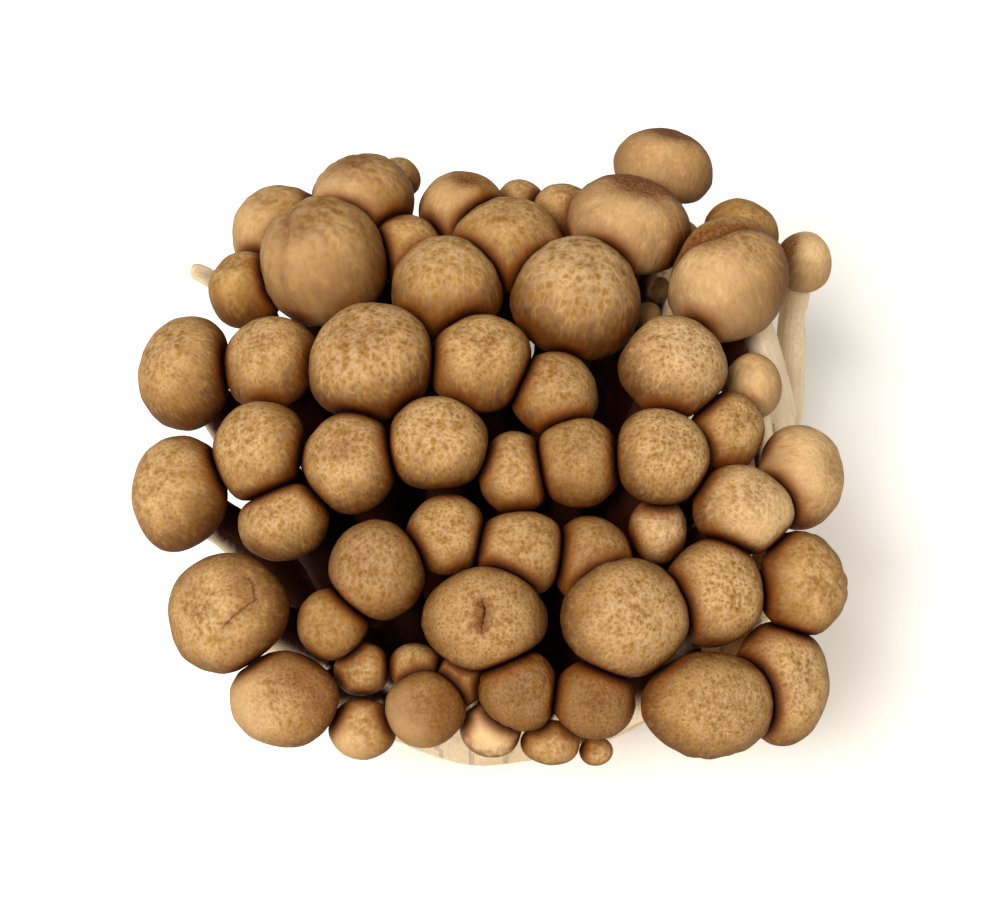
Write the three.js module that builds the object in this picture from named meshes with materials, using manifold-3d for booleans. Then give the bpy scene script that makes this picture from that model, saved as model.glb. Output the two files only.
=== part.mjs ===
// A cluster of brown beech mushrooms, cut whole from the block it grew on and standing on its flat cut.
// Every stem rises out of one fleshy base, so base, stems and gills are one ivory solid, and each brown
// cap is a solid of its own. Millimetres, +Z up, origin at the middle of the cut face, front at -Y.
import * as THREE from "three";
import { mergeVertices } from "three/addons/utils/BufferGeometryUtils.js";
import Module from "manifold-3d";

const wasm = await Module();
wasm.setup();

// The crown is the surface on which the caps sit: highest a little behind the middle of the cluster.
const CROWN_HEIGHT = 60;
const CROWN_MIDDLE_Y = 8;
const CROWN_FALL_ACROSS = 0.003;
const CROWN_FALL_FRONT = 0.006;
const CROWN_FALL_BACK = 0.0032;

// Mushrooms fan out from the base: a cap leans outwards by this much for each millimetre off the middle.
const LEAN_ACROSS = 0.011;
const LEAN_ALONG = 0.0125;
const LEAN_MIDDLE_Y = 2;

// A cap is a dome over an inrolled rim. The profile gives radii as shares of its half width, and heights
// as shares of the dome's height above 0 and of the rim's below. A bigger cap gets more sides, and the
// gain makes up for what flat facets take off its width.
const CAP_TALL = 0.68;
const DOME_SHARE = 0.66;
const GILL_ROOF = 0.16;
const FACET_GAIN = 1.05;
const LEAST_CAP_SIDES = 8;
const CAP_SIDES_PER_MM = 0.5;
const CAP_PROFILE = [
  [0, 1],
  [0.5, 0.87],
  [0.86, 0.5],
  [1, 0],
  [0.93, -0.62],
  [0.74, -1],
  [0.57, GILL_ROOF],
  [0, GILL_ROOF],
];

// Caps that press on each other flatten towards a plane between them and keep this gap.
const CONTACT_GAP = 0.34;
const PRESS_SHARPNESS = 8;
const YIELD_PER_LIFT = 0.1;
const LEAST_YIELD = 0.25;

// A stem's radius at the top is a share of its cap's radius plus a little, up to a limit, and it swells
// towards the root. It leaves the root at a slant, and comes up under the cap along the cap's own lean.
const STEM_SHARE = 0.3;
const STEM_LEAST = 0.75;
const STEM_MOST = 0.42;
const STEM_SWELL = 1.55;
const STEM_SIDES = 6;
const STEM_SPANS = 4;
const STEM_STOP = 0.25;
const ROOT_SLANT = 0.22;
const ROOT_RISE = 0.35;
const STRAIGHT_TOP = 0.42;

// Roots stand inside the outline of the base.
const ROOT_SPREAD_X = 0.66;
const ROOT_SPREAD_Y = 0.5;
const ROOT_LIMIT = 0.84;
const ROOT_HEIGHT = 5;

// Gills hang in the hollow of the cap as a pleated disc, finer on the mushrooms that show their undersides.
// Reach is a share of the cap's half width, edge, depth and fold height are shares of the rim's height.
const GILL_REACH = 0.49;
const GILL_GAP = 0.4;
const GILL_EDGE = 0.12;
const GILL_DEPTH = 0.75;
const HUB_SHARE = 0.8;
const FOLD_HEIGHT = 0.55;
const FOLD_DRAW = 0.16;
const OUTER_GILLS = 10;
const INNER_GILLS = 7;
const OUTER_DISTANCE = 30;

// The fleshy base, cut flat underneath. The profile gives shares of its half size, and heights.
const BASE_HALF = [33, 26.5];
const BASE_SIDES = 11;
const BASE_PROFILE = [
  [0, 0],
  [0.9, 0],
  [1, 3],
  [0.98, 9],
  [0.84, 14],
  [0.5, 18],
  [0, 20],
];

// Vertices closer than this are one, and edges that move the surface by less than a sliver are dropped.
const MERGE_TOLERANCE = 1e-4;
const SLIVER = 0.17;

const CAP_COLOUR = 0xb08a52;
const STEM_COLOUR = 0xeee3cf;

// Each mushroom: place in plan (x, y), lift off the crown, width and length of the cap, then, where they
// differ from the rest, its height as a share of its width, the turn of its long side in degrees, an
// extra lean to the right and to the back, how far its stem bows to the right, and how stout it is.
const MUSHROOMS = {
  front: [
    [-36.5, -26.5, 2, 16.5, 16],
    [-28.5, -36.5, 0, 16, 12.5],
    [-22.5, -28, 0, 9.5, 9.5],
    [-18.5, -32, -4, 8, 7],
    [-18.5, -39.5, -3, 9, 8],
    [-11.5, -32, -4, 7, 6.5],
    [-10, -38.5, 0, 11, 10],
    [-2, -28.5, 1, 16.5, 14.5],
    [-1, -39.5, -4, 8.5, 7.5],
    [2.5, -36.5, 0, 11.5, 10.5],
    [7, -41, -4, 8, 6],
    [12.5, -37.5, 0, 11, 10.5],
    [13, -41.5, -5, 4.5, 4],
    [17, -28.5, 2, 17.5, 16.5],
    [28, -38, 2, 18.5, 13.5],
    [38, -33, -2, 13.5, 16],
    [-5.5, -34, -3.5, 7.5, 7.5],
  ],
  right: [
    [29, -23.5, 0, 14.5, 14.5],
    [41, -21.5, 0, 12, 15],
    [33, -13, 1, 14, 13],
    [41.5, -5.5, -2, 11.5, 15, 0.75, 0, 0.35, 0],
    [21.5, -14.5, -3, 8, 9],
    [22, -7, 2, 13.5, 14.5],
    [24, 7, 2, 15, 15.5],
    [31.5, -0.5, -1, 10.5, 11.5],
    [36, 9.5, -4.5, 8, 9.5, 0.9, 0, -0.55, 0.1, 20],
    [32.5, 22.5, 3, 17, 18, 0.85, -30, -0.6, -0.05, 22, 1.3],
    [45, 34, -4, 8.5, 9, 0.9, 0, -0.3, 0, 26, 1.15],
  ],
  back: [
    [35.5, 35.5, 0, 11, 10.5, 0.68, 0, 0, 0, -3, 1.3],
    [24.5, 48, 0, 14.5, 14, 0.68, 0, 0, 0, 5, 1.4],
    [18.5, 32.5, 2, 18, 17, 0.66],
    [9, 38.5, -3, 9.5, 9.5, 0.8],
    [10.5, 18, 1, 18, 18.5, 0.8],
    [1, 29, 0, 16, 16],
    [-5.5, 36.5, -1, 12.5, 12.5, 0.85, 0, 0.2, 0],
    [3, 42, -4, 7, 7, 0.8],
    [-7.5, 20, 1, 15.5, 15.5, 0.8],
    [-13.5, 29.5, -1, 10.5, 10.5, 0.85],
    [-20, 37.5, 1, 16, 16, 0.75],
    [-15.5, 47, -3, 7, 7, 0.8],
    [-25, 25.5, 2, 19, 19, 0.8],
    [-32, 35.5, -2, 15, 15, 0.8],
    [-36.5, 24.5, -1, 11, 11.5, 0.8],
  ],
  left: [
    [-44, 10, 0, 13.5, 17, 0.75],
    [-44, -8.5, 0, 13, 16, 0.75],
    [-33, -4.5, 1, 13.5, 14.5],
    [-32, 10, 0, 13.5, 14],
    [-29.5, -13.5, -1.5, 12.5, 10.5],
  ],
  middle: [
    [-16.5, -22, 1, 13, 13.5],
    [3, -18.5, -2, 12.5, 12],
    [12.5, -19, -3, 11, 12],
    [10.5, -6.5, -1, 12, 13],
    [-17.5, 7, 2, 18.5, 18],
    [-2.5, 7.5, 0.5, 14.5, 14.5],
    [7.5, 4, -1.5, 12, 12.5],
    [-20.5, -7, 0.5, 13, 14],
    [-8.5, -5.5, 1.5, 14.5, 13.5],
    [2, -7.5, -2.5, 10, 11.5],
    [-7, -16.5, -1.5, 11, 11],
  ],
};

// Stems without a grown cap: the tip, the radius there, the knee of the bend as shares of the tip's
// place, and the radius of the young knob on it. The first lost its cap and ends bluntly at the left.
// The others stayed small between the caps.
const CAPLESS_STEMS = [
  [[-46, 32, 49.7], 1.6, [0.68, 0.95, 0.88], 0],
  [[21.5, 22, 52], 1.6, [0.95, 0.95, 0.6], 2.3],
  [[28, 41, 46], 2, [0.95, 0.95, 0.6], 2.5],
  [[24, 32, 45], 1.5, [0.95, 0.95, 0.6], 2],
  [[37, -13, 43.5], 1.5, [0.95, 0.95, 0.6], 2],
  [[34, -24, 37], 1.8, [0.95, 0.95, 0.6], 3],
  [[30.5, -22.5, 35], 1.6, [0.95, 0.95, 0.6], 2.6],
];
const CAPLESS_SWELL = 1.4;
const KNOB_SIDES = 6;
const KNOB_PROFILE = [
  [0, -0.9],
  [0.9, -0.5],
  [1, 0],
  [0.75, 0.65],
  [0, 1],
];

function crownHeight(x, y) {
  const back = y - CROWN_MIDDLE_Y;
  const fall = back > 0 ? CROWN_FALL_BACK : CROWN_FALL_FRONT;
  return CROWN_HEIGHT - CROWN_FALL_ACROSS * x * x - fall * back * back;
}

function mushroom(name, row) {
  const [x, y, lift, wide, long, tall = CAP_TALL, turn = 0, leanX = 0, leanY = 0, bow = 0, stout = 1] = row;
  const up = new THREE.Vector3(x * LEAN_ACROSS + leanX, (y - LEAN_MIDDLE_Y) * LEAN_ALONG + leanY, 1);
  up.normalize();
  const height = tall * Math.sqrt(wide * long);
  const across = new THREE.Vector3(1, 0, 0).addScaledVector(up, -up.x).normalize();
  across.applyAxisAngle(up, THREE.MathUtils.degToRad(turn));
  return {
    name,
    lift,
    bow,
    stout,
    up,
    across,
    along: new THREE.Vector3().crossVectors(up, across),
    middle: new THREE.Vector3(x, y, crownHeight(x, y) + lift),
    half: [(wide * FACET_GAIN) / 2, (long * FACET_GAIN) / 2],
    dome: height * DOME_SHARE,
    rim: height * (1 - DOME_SHARE),
    radius: (wide + long) / 4,
  };
}

const mushrooms = Object.entries(MUSHROOMS).flatMap(([side, rows]) =>
  rows.map((row, i) => mushroom(`cap_${side}_${i + 1}`, row)),
);

// How far a cap reaches from its middle in a direction, taken as two half ellipsoids.
function reach(cap, way) {
  const upright = cap.up.dot(way);
  const height = upright > 0 ? cap.dome : cap.rim;
  return Math.hypot(
    cap.half[0] * cap.across.dot(way),
    cap.half[1] * cap.along.dot(way),
    height * upright,
  );
}

// The planes at which a cap meets its neighbours: the one that stands prouder gives way less.
function contacts(cap) {
  const planes = [];
  for (const other of mushrooms) {
    if (other === cap) continue;
    const way = other.middle.clone().sub(cap.middle);
    const apart = way.length();
    way.divideScalar(apart);
    const own = reach(cap, way);
    const overlap = own + reach(other, way.clone().negate()) + CONTACT_GAP - apart;
    if (overlap <= 0) continue;
    const proud = (cap.lift - other.lift) * YIELD_PER_LIFT;
    const share = THREE.MathUtils.clamp(0.5 - proud, LEAST_YIELD, 1 - LEAST_YIELD);
    planes.push({ way, distance: own - overlap * share });
  }
  return planes;
}

// Draws a point towards the middle of the cap so that it stays on its own side of every contact plane.
function press(point, cap) {
  const arm = point.sub(cap.middle);
  let pressure = 1;
  for (const { way, distance } of cap.planes)
    pressure += Math.max(0, arm.dot(way) / distance) ** PRESS_SHARPNESS;
  return arm.multiplyScalar(pressure ** (-1 / PRESS_SHARPNESS)).add(cap.middle);
}

for (const cap of mushrooms) cap.planes = contacts(cap);

// Moves every vertex of a geometry by a function of its place.
function moved(geometry, move) {
  const places = geometry.getAttribute("position");
  const point = new THREE.Vector3();
  for (let i = 0; i < places.count; i++) {
    const { x, y, z } = move(point.fromBufferAttribute(places, i));
    places.setXYZ(i, x, y, z);
  }
  return geometry;
}

// From a cap's own frame (lathe axis y) to the part's frame.
function inPlace(local, cap) {
  const place = cap.middle.clone();
  place.addScaledVector(cap.across, local.x);
  place.addScaledVector(cap.along, -local.z);
  place.addScaledVector(cap.up, local.y);
  return place;
}

function capGeometry(cap) {
  const sides = Math.round(LEAST_CAP_SIDES + CAP_SIDES_PER_MM * cap.radius);
  const profile = CAP_PROFILE.map(([r, h]) => new THREE.Vector2(r, h * (h > 0 ? cap.dome : cap.rim)));
  const turned = new THREE.LatheGeometry(profile.reverse(), sides);
  return moved(turned, (p) => {
    const local = new THREE.Vector3(p.x * cap.half[0], p.y, p.z * cap.half[1]);
    return press(inPlace(local, cap), cap);
  });
}

// A disc of twice as many spokes as gills: every other spoke is drawn up and in, which folds it.
function gillGeometry(cap, stemRadius) {
  const gills = Math.hypot(cap.middle.x, cap.middle.y) > OUTER_DISTANCE ? OUTER_GILLS : INNER_GILLS;
  const top = GILL_ROOF * cap.dome - GILL_GAP;
  const edge = top - GILL_EDGE * cap.rim;
  const bottom = top - GILL_DEPTH * cap.rim - GILL_GAP;
  const profile = [
    new THREE.Vector2(0, bottom),
    new THREE.Vector2((stemRadius * HUB_SHARE) / cap.radius, bottom),
    new THREE.Vector2(GILL_REACH, edge),
    new THREE.Vector2(0, top),
  ];
  return moved(new THREE.LatheGeometry(profile, gills * 2), (p) => {
    const radius = Math.hypot(p.x, p.z);
    const fold = (1 - Math.cos(gills * Math.atan2(p.z, p.x))) / 2;
    const onHub = radius > 0 && p.y < edge - GILL_GAP;
    const rise = onHub ? FOLD_HEIGHT * cap.rim * fold : 0;
    const draw = 1 - FOLD_DRAW * fold * (radius / GILL_REACH);
    const local = new THREE.Vector3(p.x * cap.half[0] * draw, p.y + rise, p.z * cap.half[1] * draw);
    return press(inPlace(local, cap), cap);
  });
}

// A tapered post bent along a curve: t runs from 0 at the root to 1 at the top.
function postGeometry(route, rootRadius, topRadius) {
  const post = new THREE.CylinderGeometry(topRadius, rootRadius, 1, STEM_SIDES, STEM_SPANS);
  const side = new THREE.Vector3();
  return moved(post, (p) => {
    const t = p.y + 0.5;
    const ahead = route.getTangent(t);
    side.set(0, 1, 0).cross(ahead).normalize();
    const place = route.getPoint(t).addScaledVector(side, p.x);
    return place.addScaledVector(side.clone().cross(ahead), p.z);
  });
}

function rootOf(x, y) {
  const root = new THREE.Vector3(x * ROOT_SPREAD_X, y * ROOT_SPREAD_Y, 0);
  const share = Math.hypot(root.x / BASE_HALF[0], root.y / BASE_HALF[1]);
  root.multiplyScalar(Math.min(1, ROOT_LIMIT / share));
  return root.setZ(ROOT_HEIGHT);
}

function stemRoute(cap) {
  const top = cap.middle.clone().addScaledVector(cap.up, GILL_ROOF * cap.dome - GILL_GAP - STEM_STOP);
  const root = rootOf(cap.middle.x, cap.middle.y);
  const length = top.distanceTo(root);
  const upper = top.clone().addScaledVector(cap.up, -STRAIGHT_TOP * length);
  const slant = new THREE.Vector3(root.x * ROOT_SLANT + cap.bow, root.y * ROOT_SLANT, ROOT_RISE * length);
  const lower = root.clone().add(slant);
  return new THREE.CubicBezierCurve3(root, lower, upper, top);
}

// Geometry to manifold-3d solid and back.
function solid(geometry) {
  const bare = geometry.clone();
  bare.deleteAttribute("normal");
  bare.deleteAttribute("uv");
  const merged = mergeVertices(bare, MERGE_TOLERANCE);
  return new wasm.Manifold(
    new wasm.Mesh({
      numProp: 3,
      vertProperties: merged.getAttribute("position").array,
      triVerts: new Uint32Array(merged.index.array),
    }),
  );
}

function geometryOf(made) {
  const { vertProperties, triVerts } = made.getMesh();
  const geometry = new THREE.BufferGeometry();
  geometry.setAttribute("position", new THREE.BufferAttribute(vertProperties, 3));
  geometry.setIndex(new THREE.BufferAttribute(triVerts, 1));
  return geometry;
}

function baseSolid() {
  const profile = BASE_PROFILE.map(([r, h]) => new THREE.Vector2(r, h));
  const lump = new THREE.LatheGeometry(profile, BASE_SIDES);
  return solid(moved(lump, (p) => new THREE.Vector3(p.x * BASE_HALF[0], -p.z * BASE_HALF[1], p.y)));
}

function stemSolids(cap) {
  const topRadius = cap.stout * Math.min(STEM_SHARE * cap.radius + STEM_LEAST, STEM_MOST * cap.radius);
  const post = postGeometry(stemRoute(cap), topRadius * STEM_SWELL, topRadius);
  return [solid(post), solid(gillGeometry(cap, topRadius))];
}

function caplessSolids([place, radius, bend, knob]) {
  const tip = new THREE.Vector3(...place);
  const knee = tip.clone().multiply(new THREE.Vector3(...bend));
  const route = new THREE.QuadraticBezierCurve3(rootOf(tip.x, tip.y), knee, tip);
  const post = solid(postGeometry(route, radius * CAPLESS_SWELL, radius));
  if (!knob) return [post];
  const profile = KNOB_PROFILE.map(([r, h]) => new THREE.Vector2(r * knob, h * knob));
  const upright = new THREE.Quaternion().setFromUnitVectors(THREE.Object3D.DEFAULT_UP, route.getTangent(1));
  const turned = new THREE.LatheGeometry(profile, KNOB_SIDES);
  return [post, solid(moved(turned, (p) => p.clone().applyQuaternion(upright).add(tip)))];
}

// Fusing closes small pockets between the stems: only the outer skin is kept, so they fill.
function outerSkin(fused) {
  const shells = fused.decompose();
  const skin = shells.reduce((most, next) => (next.volume() > most.volume() ? next : most));
  return skin.asOriginal().simplify(SLIVER);
}

const stemFlesh = new THREE.MeshStandardMaterial({ color: STEM_COLOUR, roughness: 0.6, metalness: 0 });

function stemsMesh() {
  const solids = [baseSolid(), ...mushrooms.flatMap(stemSolids), ...CAPLESS_STEMS.flatMap(caplessSolids)];
  const fused = outerSkin(wasm.Manifold.union(solids));
  const mesh = new THREE.Mesh(geometryOf(fused), stemFlesh);
  mesh.name = "base_stems_and_gills";
  return mesh;
}

function capMesh(cap) {
  const skin = new THREE.MeshStandardMaterial({ color: CAP_COLOUR, roughness: 0.55, metalness: 0 });
  const mesh = new THREE.Mesh(capGeometry(cap), skin);
  mesh.name = cap.name;
  return mesh;
}

const cluster = new THREE.Group();
cluster.add(stemsMesh(), ...mushrooms.map(capMesh));

export default cluster;
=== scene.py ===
"""A cluster of brown beech mushrooms, cut whole from the block it grew on and standing on its flat cut.

Lengths in the growth rules are millimetres, and MM turns them into the metres of the scene.
"""

import math
import random

import bmesh
import bpy
import numpy as np
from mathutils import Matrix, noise
from mathutils.bvhtree import BVHTree
from mathutils.kdtree import KDTree


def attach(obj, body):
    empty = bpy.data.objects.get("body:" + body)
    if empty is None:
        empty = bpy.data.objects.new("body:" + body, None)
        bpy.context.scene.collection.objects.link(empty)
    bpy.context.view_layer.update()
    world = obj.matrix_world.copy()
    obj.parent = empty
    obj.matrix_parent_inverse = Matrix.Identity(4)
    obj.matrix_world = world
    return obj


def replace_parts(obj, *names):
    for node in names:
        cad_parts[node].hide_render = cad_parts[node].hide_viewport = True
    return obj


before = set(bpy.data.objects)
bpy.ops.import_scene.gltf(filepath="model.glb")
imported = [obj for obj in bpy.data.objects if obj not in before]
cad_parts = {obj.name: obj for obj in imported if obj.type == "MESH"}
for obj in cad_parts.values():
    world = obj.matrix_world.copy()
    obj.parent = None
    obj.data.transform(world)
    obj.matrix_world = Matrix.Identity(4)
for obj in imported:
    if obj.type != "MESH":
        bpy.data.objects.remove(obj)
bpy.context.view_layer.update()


# Growth. The mushrooms grow out of one root, and their caps crowd into one curved crown. Each leans
# outwards, the more the further out it stands.
MM = 0.001
CROWN_HEIGHT = 60
CROWN_MIDDLE_Y = 8
CROWN_FALL_ACROSS = 0.003
CROWN_FALL_FRONT = 0.006
CROWN_FALL_BACK = 0.0032
LEAN_ACROSS = 0.011
LEAN_ALONG = 0.0125
LEAN_MIDDLE_Y = 2
CAP_TALL = 0.68
DOME_SHARE = 0.66
FLESH_GAIN = 1.03

# A row is the cap's place to the right and back, its lift off the crown, its width and its length, then,
# where they differ, its height as a share of its mean width, its turn in degrees, its extra lean to the
# right and back, and its stem's bow to the right and stoutness.
MUSHROOMS = {
    "front": [
        (-36.5, -26.5, 2, 16.5, 16),
        (-28.5, -36.5, 0, 16, 12.5),
        (-22.5, -28, 0, 9.5, 9.5),
        (-18.5, -32, -4, 8, 7),
        (-18.5, -39.5, -3, 9, 8),
        (-11.5, -32, -4, 7, 6.5),
        (-10, -38.5, 0, 11, 10),
        (-2, -28.5, 1, 16.5, 14.5),
        (-1, -39.5, -4, 8.5, 7.5),
        (2.5, -36.5, 0, 11.5, 10.5),
        (7, -41, -4, 8, 6),
        (12.5, -37.5, 0, 11, 10.5),
        (13, -41.5, -5, 4.5, 4),
        (17, -28.5, 2, 17.5, 16.5),
        (28, -38, 2, 18.5, 13.5),
        (38, -33, -2, 13.5, 16),
        (-5.5, -34, -3.5, 7.5, 7.5),
    ],
    "right": [
        (29, -23.5, 0, 14.5, 14.5),
        (41, -21.5, 0, 12, 15),
        (33, -13, 1, 14, 13),
        (41.5, -5.5, -2, 11.5, 15, 0.75, 0, 0.35, 0),
        (21.5, -14.5, -3, 8, 9),
        (22, -7, 2, 13.5, 14.5),
        (24, 7, 2, 15, 15.5),
        (31.5, -0.5, -1, 10.5, 11.5),
        (36, 9.5, -4.5, 8, 9.5, 0.9, 0, -0.55, 0.1, 20),
        (32.5, 22.5, 3, 17, 18, 0.85, -30, -0.6, -0.05, 22, 1.3),
        (45, 34, -4, 8.5, 9, 0.9, 0, -0.3, 0, 26, 1.15),
    ],
    "back": [
        (35.5, 35.5, 0, 11, 10.5, 0.68, 0, 0, 0, -3, 1.3),
        (24.5, 48, 0, 14.5, 14, 0.68, 0, 0, 0, 5, 1.4),
        (18.5, 32.5, 2, 18, 17, 0.66),
        (9, 38.5, -3, 9.5, 9.5, 0.8),
        (10.5, 18, 1, 18, 18.5, 0.8),
        (1, 29, 0, 16, 16),
        (-5.5, 36.5, -1, 12.5, 12.5, 0.85, 0, 0.2, 0),
        (3, 42, -4, 7, 7, 0.8),
        (-7.5, 20, 1, 15.5, 15.5, 0.8),
        (-13.5, 29.5, -1, 10.5, 10.5, 0.85),
        (-20, 37.5, 1, 16, 16, 0.75),
        (-15.5, 47, -3, 7, 7, 0.8),
        (-25, 25.5, 2, 19, 19, 0.8),
        (-32, 35.5, -2, 15, 15, 0.8),
        (-36.5, 24.5, -1, 11, 11.5, 0.8),
    ],
    "left": [
        (-44, 10, 0, 13.5, 17, 0.75),
        (-44, -8.5, 0, 13, 16, 0.75),
        (-33, -4.5, 1, 13.5, 14.5),
        (-32, 10, 0, 13.5, 14),
        (-29.5, -13.5, -1.5, 12.5, 10.5),
    ],
    "middle": [
        (-16.5, -22, 1, 13, 13.5),
        (3, -18.5, -2, 12.5, 12),
        (12.5, -19, -3, 11, 12),
        (10.5, -6.5, -1, 12, 13),
        (-17.5, 7, 2, 18.5, 18),
        (-2.5, 7.5, 0.5, 14.5, 14.5),
        (7.5, 4, -1.5, 12, 12.5),
        (-20.5, -7, 0.5, 13, 14),
        (-8.5, -5.5, 1.5, 14.5, 13.5),
        (2, -7.5, -2.5, 10, 11.5),
        (-7, -16.5, -1.5, 11, 11),
    ],
}


def unit(vector):
    return np.asarray(vector, float) / np.linalg.norm(vector)


def crown_height(x, y):
    back = y - CROWN_MIDDLE_Y
    fall = CROWN_FALL_BACK if back > 0 else CROWN_FALL_FRONT
    return CROWN_HEIGHT - CROWN_FALL_ACROSS * x * x - fall * back * back


class Mushroom:
    def __init__(self, name, x, y, lift, wide, long, tall=CAP_TALL, turn=0, lean_x=0, lean_y=0,
                 bow=0, stout=1):
        self.name = name
        self.lift = lift
        self.bow = bow
        self.stout = stout
        self.up = unit((x * LEAN_ACROSS + lean_x, (y - LEAN_MIDDLE_Y) * LEAN_ALONG + lean_y, 1))
        level = unit(np.array((1, 0, 0)) - self.up * self.up[0])
        angle = math.radians(turn)
        self.across = level * math.cos(angle) + np.cross(self.up, level) * math.sin(angle)
        self.along = np.cross(self.up, self.across)
        self.middle = np.array((x, y, crown_height(x, y) + lift))
        self.half = np.array((wide, long)) * FLESH_GAIN / 2
        height = tall * math.sqrt(wide * long)
        self.dome = height * DOME_SHARE
        self.rim = height * (1 - DOME_SHARE)
        self.radius = (wide + long) / 4

    def placed(self, local):
        """Points of the cap's own frame (across, along, up) in the frame of the cluster."""
        return self.middle + local @ np.array((self.across, self.along, self.up))

    def reach(self, way):
        """How far the cap reaches from its middle that way, taken as two half ellipsoids."""
        upright = self.up @ way
        height = self.dome if upright > 0 else self.rim
        flat = (self.half[0] * (self.across @ way), self.half[1] * (self.along @ way))
        return math.hypot(*flat, height * upright)


mushrooms = [
    Mushroom(f"cap_{side}_{i}", *row)
    for side, rows in MUSHROOMS.items()
    for i, row in enumerate(rows, 1)
]
by_pride = sorted(mushrooms, key=lambda mushroom: -mushroom.lift)


# Cap forms. A cap is a dome over an inrolled rim, with a hollow for the gills. Caps grow into each other:
# the one that stands prouder gives way a little, and the lower one takes the dent of it.
DOME_RINGS = 22
RIM_RINGS = 9
RIM_CORE = 0.62
RIM_TURN = math.radians(76)
HOLLOW = [(0.68, -0.985), (0.655, -0.93), (0.64, -0.75), (0.62, -0.4), (0.6, 0.0), (0.57, 0.16),
          (0.3, 0.2), (0.0, 0.21)]
LIP_RING = DOME_RINGS + RIM_RINGS
CELL_OF_MESH = 0.62
LEAST_STEPS = 36
LONG_WAVE = 5.5
LONG_WAVE_DEPTH = 0.3
SHORT_WAVE = 1.9
SHORT_WAVE_DEPTH = 0.14
CREASE_WAVE = 2.6
CONTACT_GAP = 0.34
SKIN_GAP = 0.14
PRESS_SHARPNESS = 8
YIELD_PER_LIFT = 0.1
LEAST_YIELD = 0.22
DENT_ROUNDS = 4
TOUCH_REACH = 3.8
TOUCH_FADE = 1.5
SPLIT_VALLEY = 0.55
SPLIT_WIDTH = 0.8
MARKS_BY_ARC = 0.35
SAME_PLACE = 1e-5
TINY = 1e-9
FAR_AWAY = 9.0
RIM_LOBES = [(2, 0.022), (3, 0.014), (5, 0.006)]
LEAST_LOBE = 0.3
NOISE_FIELD = 90
FULL_RELIEF_RADIUS = 7
CREASE_SHARPNESS = 3
STAIN_REACH = (0.6, 0.42)
SUNK_SPREAD = 0.1
DINT_FADE = 0.3
SPLIT_TAPER = 2
TONE_SPREAD = 0.08
PALE_LEAST = 0.15
OWN_SHIFT = 0.4
SHIFT_BESIDE = 0.3
DENT_REACH = 1.3

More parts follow.
